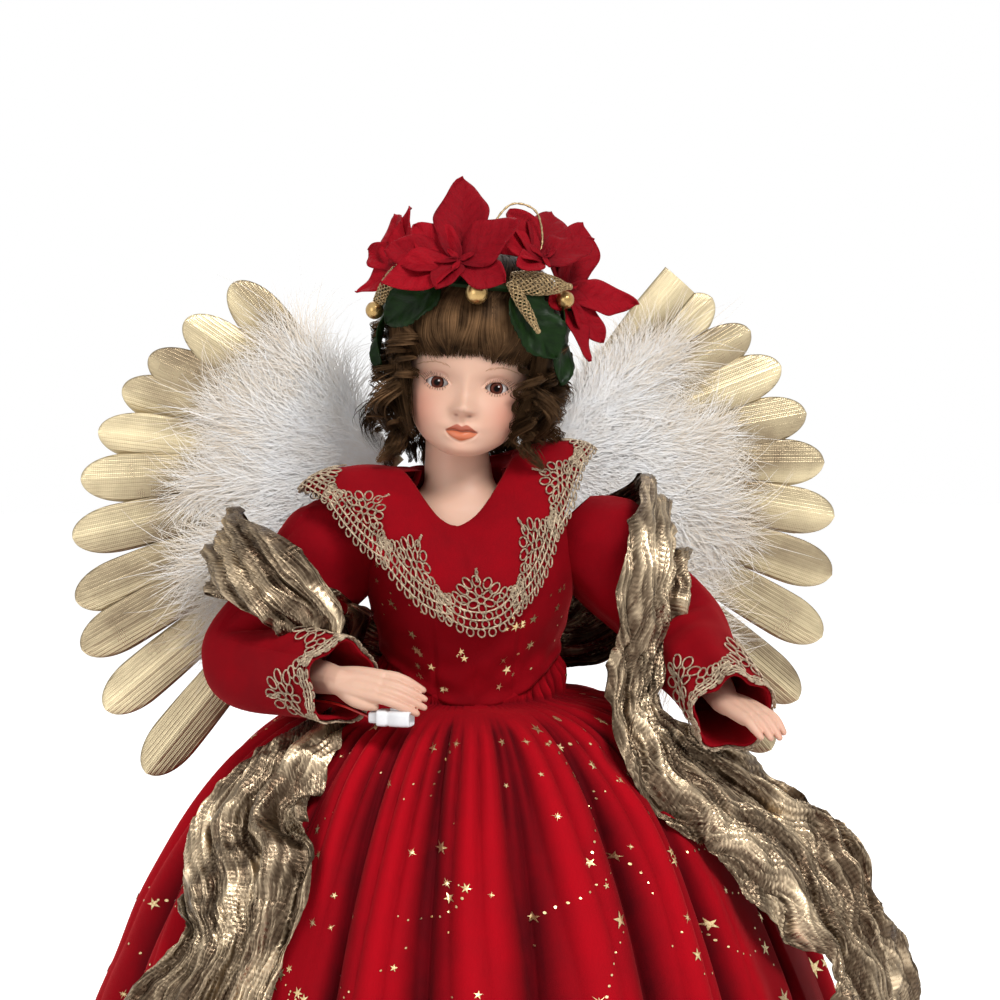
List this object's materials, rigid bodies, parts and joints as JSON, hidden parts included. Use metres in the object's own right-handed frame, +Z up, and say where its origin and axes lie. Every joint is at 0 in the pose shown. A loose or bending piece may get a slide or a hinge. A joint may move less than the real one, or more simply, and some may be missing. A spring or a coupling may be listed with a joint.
{
  "type": "angel statue",
  "caption": "Standing angel doll with porcelain head and hands, velvet gown on a foam bell, foil and down wings, draped gold stole and poinsettia wreath.",
  "frame": {"origin": "under the middle of the base, on the surface the figure stands on", "axes": "+Z up through the support post, the figure faces -Y, its left hand is towards +X"},
  "size_m": [0.4801, 0.4797, 0.6002],
  "materials": {
    "velvet": "velvet pile",
    "lace": "gold thread lace",
    "foil": "gold foil cloth",
    "down": "white down",
    "lame": "pleated gold lame",
    "porcelain": "painted bisque, satin",
    "iris": "brown glass eye",
    "hair": "wig fibre",
    "petal": "flocked cloth",
    "leaf": "cloth leaf",
    "gold": "gold lacquer",
    "wire": "steel wire",
    "wood": "plain",
    "foam": "moulded foam",
    "muslin": "stuffed muslin",
    "casing": "moulded",
    "jacket": "cell jacket",
    "lead": "insulated lead"
  },
  "bodies": {
    "figure": {"base_plate": "wood", "skirt_core": "foam", "support_post": "wood", "battery_box": "casing", "cell_1": "jacket", "cell_2": "jacket", "lead_riser": "lead", "porcelain_head": "porcelain", "right_eye": "iris", "left_eye": "iris", "wig": "hair", "right_ringlet_front": "hair", "right_ringlet_side": "hair", "right_ringlet_back": "hair", "left_ringlet_front": "hair", "left_ringlet_side": "hair", "left_ringlet_back": "hair", "back_ringlet_right": "hair", "back_ringlet_left": "hair", "wreath_wire": "wire", "poinsettia_front": "petal", "poinsettia_right": "petal", "poinsettia_crown": "petal", "poinsettia_left": "petal", "poinsettia_back": "petal", "berry_front": "gold", "berry_right": "gold", "berry_left": "gold", "leaf_right_front": "leaf", "leaf_left_front": "leaf", "leaf_left_side": "leaf", "leaf_right_side": "leaf", "sprig_right": "gold", "sprig_left": "gold", "torso": "muslin", "bodice": "velvet", "skirt": "velvet", "collar": "velvet", "collar_lace": "lace", "stole": "lame", "arm_wire": "wire", "wing_bracket": "casing"},
    "right_upper_arm": {"right_upper_arm": "muslin", "right_sleeve": "velvet"},
    "right_forearm": {"right_forearm": "porcelain", "right_cuff_lace": "lace", "lamp_connector": "casing", "hand_lead": "lead"},
    "left_upper_arm": {"left_upper_arm": "muslin", "left_sleeve": "velvet"},
    "left_forearm": {"left_forearm": "porcelain", "left_cuff_lace": "lace"},
    "right_wing": {"right_wing": "foil", "right_wing_down": "down", "right_wing_wire": "wire"},
    "left_wing": {"left_wing": "foil", "left_wing_down": "down", "left_wing_wire": "wire"},
    "battery_door": {"battery_door": "casing"},
    "switch_knob": {"switch_knob": "casing"}
  },
  "joints": [
    {"name": "right_shoulder", "type": "hinge", "parent": "figure", "child": "right_upper_arm", "pos_m": [-0.068, 0.002, 0.406], "axis": [-1, 0, 0], "range_deg": [0, 30], "deforming": ["right_sleeve", "stole"]},
    {"name": "right_elbow", "type": "hinge", "parent": "right_upper_arm", "child": "right_forearm", "pos_m": [-0.111, -0.008, 0.362], "axis": [-0.8128, -0.5825, 0], "range_deg": [0, 18], "deforming": ["right_sleeve", "stole"]},
    {"name": "left_shoulder", "type": "hinge", "parent": "figure", "child": "left_upper_arm", "pos_m": [0.066, 0.002, 0.406], "axis": [-1, 0, 0], "range_deg": [0, 30], "deforming": ["left_sleeve", "stole"]},
    {"name": "left_elbow", "type": "hinge", "parent": "left_upper_arm", "child": "left_forearm", "pos_m": [0.106, -0.006, 0.372], "axis": [-0.9848, -0.1738, 0], "range_deg": [0, 30], "deforming": ["left_sleeve", "stole"]},
    {"name": "right_wing_fold", "type": "hinge", "parent": "figure", "child": "right_wing", "pos_m": [-0.016, 0.049, 0.398], "axis": [0, 0, -1], "range_deg": [0, 35]},
    {"name": "left_wing_fold", "type": "hinge", "parent": "figure", "child": "left_wing", "pos_m": [0.016, 0.049, 0.398], "axis": [0, 0, 1], "range_deg": [-5, 30]},
    {"name": "battery_door_hinge", "type": "hinge", "parent": "figure", "child": "battery_door", "pos_m": [0.048, -0.0293, 0.0017], "axis": [-1, 0, 0], "range_deg": [0, 100]},
    {"name": "switch_slide", "type": "slide", "parent": "figure", "child": "switch_knob", "axis": [0, 1, 0], "range_m": [0, 0.005]}
  ]
}
